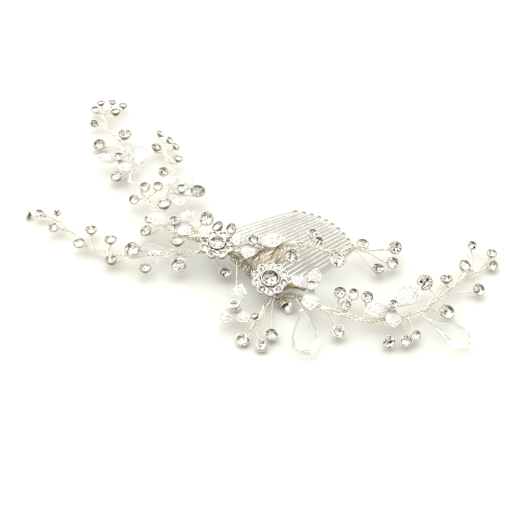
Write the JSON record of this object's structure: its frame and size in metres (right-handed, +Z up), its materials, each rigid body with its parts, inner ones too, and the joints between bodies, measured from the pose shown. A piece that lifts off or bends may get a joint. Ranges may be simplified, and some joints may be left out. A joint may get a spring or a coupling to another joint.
{
  "type": "bridal hair comb",
  "caption": "Wire hair comb under a long spray of twisted stems that carry cup-set round stones, white petal flowers, stone clusters and clear faceted drops.",
  "frame": {"origin": "on the surface it lies on, under the middle of the whole piece", "axes": "+X along the spray, +Y towards the tips of the comb's teeth and the upper arm, +Z up"},
  "size_m": [0.1849, 0.1573, 0.0174],
  "materials": {
    "silver_wire": "polished silver plate",
    "silver_cup": "polished silver plate",
    "gold_wire": "bright pale gold, two strands twisted",
    "gold_cup": "polished pale gold",
    "binding_gold": "darkened fine wire",
    "foiled_stone": "cut in facets, foiled behind",
    "white_petal": "white with fine glitter",
    "clear_drop": "clear, cut in facets"
  },
  "bodies": {
    "root": {"binding_wire": "binding_gold", "cluster_far_middle": "foiled_stone", "cluster_far_ring": "foiled_stone", "cluster_far_setting": "silver_cup", "cluster_near_middle": "foiled_stone", "cluster_near_ring": "foiled_stone", "cluster_near_setting": "silver_cup", "comb_bar": "silver_wire", "comb_teeth": "silver_wire", "cups_branch": "gold_cup", "cups_front": "gold_cup", "cups_left": "gold_cup", "cups_right_low": "gold_cup", "cups_right_top": "gold_cup", "cups_upper": "gold_cup", "drop_front": "clear_drop", "drop_left": "clear_drop", "drop_middle": "clear_drop", "drop_right": "clear_drop", "drop_upper": "clear_drop", "flower_a": "white_petal", "flower_b": "white_petal", "flower_c": "white_petal", "flower_cups": "silver_cup", "flower_d": "white_petal", "flower_e": "white_petal", "flower_f": "white_petal", "flower_g": "white_petal", "flower_stones": "foiled_stone", "small_stones_branch": "foiled_stone", "small_stones_front": "foiled_stone", "small_stones_left": "foiled_stone", "small_stones_right_low": "foiled_stone", "small_stones_right_top": "foiled_stone", "small_stones_upper": "foiled_stone", "stem_branch": "gold_wire", "stem_front": "gold_wire", "stem_left": "gold_wire", "stem_right_low": "gold_wire", "stem_right_top": "gold_wire", "stem_spine": "gold_wire", "stem_upper": "gold_wire", "stone_branch_1": "foiled_stone", "stone_left_1": "foiled_stone", "stone_left_2": "foiled_stone", "stone_right_low_1": "foiled_stone", "stone_right_low_2": "foiled_stone", "stone_right_low_3": "foiled_stone", "stone_right_low_4": "foiled_stone", "stone_right_top_1": "foiled_stone", "stone_right_top_2": "foiled_stone", "stone_right_top_3": "foiled_stone", "stone_right_top_4": "foiled_stone", "stone_upper_1": "foiled_stone", "stone_upper_2": "foiled_stone", "stone_upper_3": "foiled_stone", "stone_upper_4": "foiled_stone", "stone_upper_5": "foiled_stone", "stone_upper_6": "foiled_stone", "stone_upper_7": "foiled_stone"}
  },
  "joints": []
}
